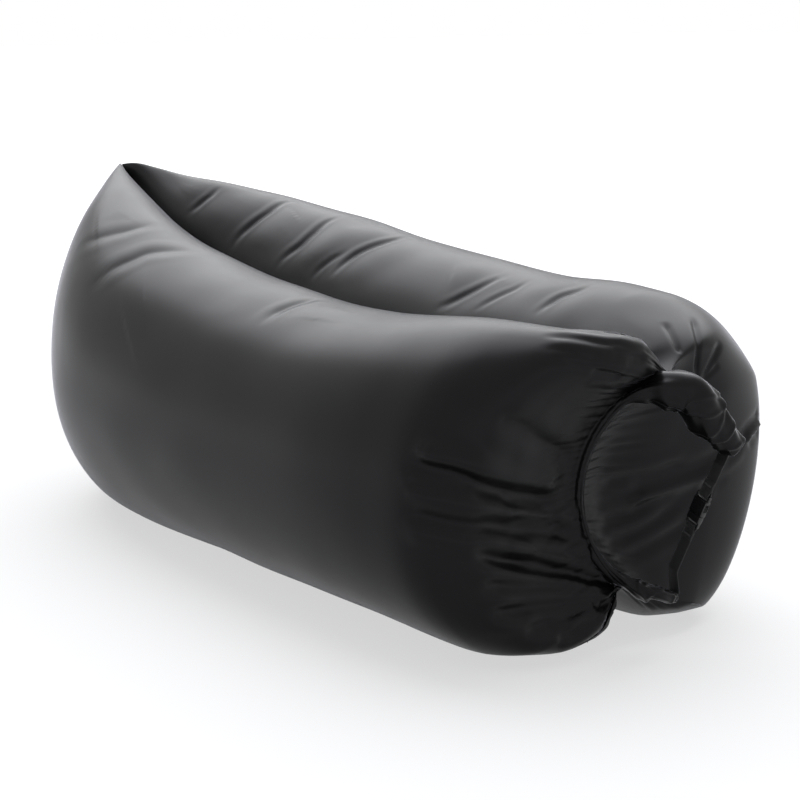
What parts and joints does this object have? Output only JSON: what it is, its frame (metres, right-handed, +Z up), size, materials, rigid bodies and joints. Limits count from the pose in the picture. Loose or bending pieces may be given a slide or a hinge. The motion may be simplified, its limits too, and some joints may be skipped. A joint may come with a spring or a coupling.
{
  "type": "inflatable floating sofa",
  "caption": "Air lounger for water, beach or lawn: long air-filled fabric chambers side by side, with a pointed head rest and a rolled mouth closed by a webbing strap and buckle.",
  "frame": {"origin": "centre of the bounding box in plan, on the ground plane", "axes": "+X from the pointed head end to the rolled mouth, +Y from the near chamber to the far one, +Z up"},
  "size_m": [2.0735, 0.9394, 0.7375],
  "materials": {
    "near_chamber_fabric": "coated ripstop, satin",
    "far_chamber_fabric": "coated ripstop, satin",
    "near_liner_film": "thin film, smooth",
    "far_liner_film": "thin film, smooth",
    "centre_seam_tape_weave": "woven tape",
    "near_head_binding_tape": "woven tape",
    "far_head_binding_tape": "woven tape",
    "mouth_roll_fabric": "coated ripstop, satin",
    "mouth_batten_plastic": "smooth strip",
    "upper_strap_webbing": "woven webbing",
    "lower_strap_webbing": "woven webbing",
    "upper_bar_tack_thread": "stitching",
    "lower_bar_tack_thread": "stitching",
    "buckle_socket_plastic": "moulded, semi-gloss",
    "buckle_tongue_plastic": "moulded, semi-gloss",
    "outer_latch_arm_plastic": "moulded, semi-gloss",
    "inner_latch_arm_plastic": "moulded, semi-gloss"
  },
  "bodies": {
    "sofa": {"near_chamber": "near_chamber_fabric", "far_chamber": "far_chamber_fabric", "near_liner": "near_liner_film", "far_liner": "far_liner_film", "centre_seam_tape": "centre_seam_tape_weave", "near_head_binding": "near_head_binding_tape", "far_head_binding": "far_head_binding_tape", "mouth_roll": "mouth_roll_fabric", "mouth_batten": "mouth_batten_plastic", "upper_strap": "upper_strap_webbing", "lower_strap": "lower_strap_webbing", "upper_bar_tack": "upper_bar_tack_thread", "buckle_socket": "buckle_socket_plastic"},
    "tongue": {"buckle_tongue": "buckle_tongue_plastic", "lower_bar_tack": "lower_bar_tack_thread"},
    "outer_latch": {"outer_latch_arm": "outer_latch_arm_plastic"},
    "inner_latch": {"inner_latch_arm": "inner_latch_arm_plastic"}
  },
  "joints": [
    {"name": "buckle_release", "type": "slide", "parent": "sofa", "child": "tongue", "axis": [-0.284, -0.2101, -0.9355], "range_m": [0, 0.028], "deforming": ["lower_strap", "outer_latch_arm", "inner_latch_arm"]},
    {"name": "outer_latch_press", "type": "hinge", "parent": "tongue", "child": "outer_latch", "pos_m": [0.98628, 0.09636, 0.25745], "axis": [0, -0.9757, 0.2192], "range_deg": [0, 10], "stiffness_Nm_per_rad": 0.3},
    {"name": "inner_latch_press", "type": "hinge", "parent": "tongue", "child": "inner_latch", "pos_m": [0.9694, 0.09745, 0.26233], "axis": [0, 0.9757, -0.2192], "range_deg": [0, 10], "stiffness_Nm_per_rad": 0.3}
  ]
}
